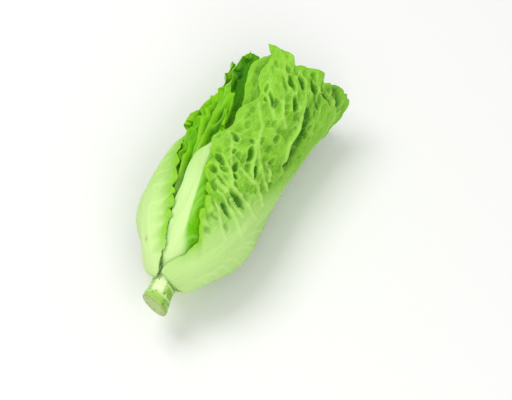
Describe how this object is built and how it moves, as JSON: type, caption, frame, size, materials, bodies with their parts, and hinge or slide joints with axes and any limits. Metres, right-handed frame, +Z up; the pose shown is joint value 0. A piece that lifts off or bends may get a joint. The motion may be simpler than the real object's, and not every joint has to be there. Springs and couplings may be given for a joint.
{
  "type": "cos lettuce head",
  "caption": "Head of cos lettuce lying on its side: blistered leaves with thick pale ribs and waved margins, nested round a short cut stem.",
  "frame": {"origin": "middle of the flat spot that the head rests on, on the surface under it", "axes": "+Y along the head from the cut stem to the leaf tips, +Z up, +X towards the large leaf on the right"},
  "size_m": [0.1194, 0.2766, 0.1048],
  "materials": {
    "stem": "moist pale green stem, with leaf scars and a cut face that is turning brown",
    "leaf": "fresh leaf: semi-gloss and translucent, with a pale rib and a raised net of veins",
    "heart": "pale yellow-green heart leaf: semi-gloss and translucent"
  },
  "bodies": {
    "root": {"stem": "stem", "leaf_right": "leaf", "leaf_left": "leaf", "leaf_under": "leaf", "leaf_torn": "leaf", "leaf_ruffled": "leaf", "leaf_top": "leaf", "leaf_back_right": "leaf", "leaf_back_left": "leaf", "heart_leaf_1": "heart", "heart_leaf_2": "heart", "heart_leaf_3": "heart", "heart_leaf_4": "heart", "heart_leaf_5": "heart", "heart_leaf_6": "heart", "heart_leaf_7": "heart"}
  },
  "joints": []
}
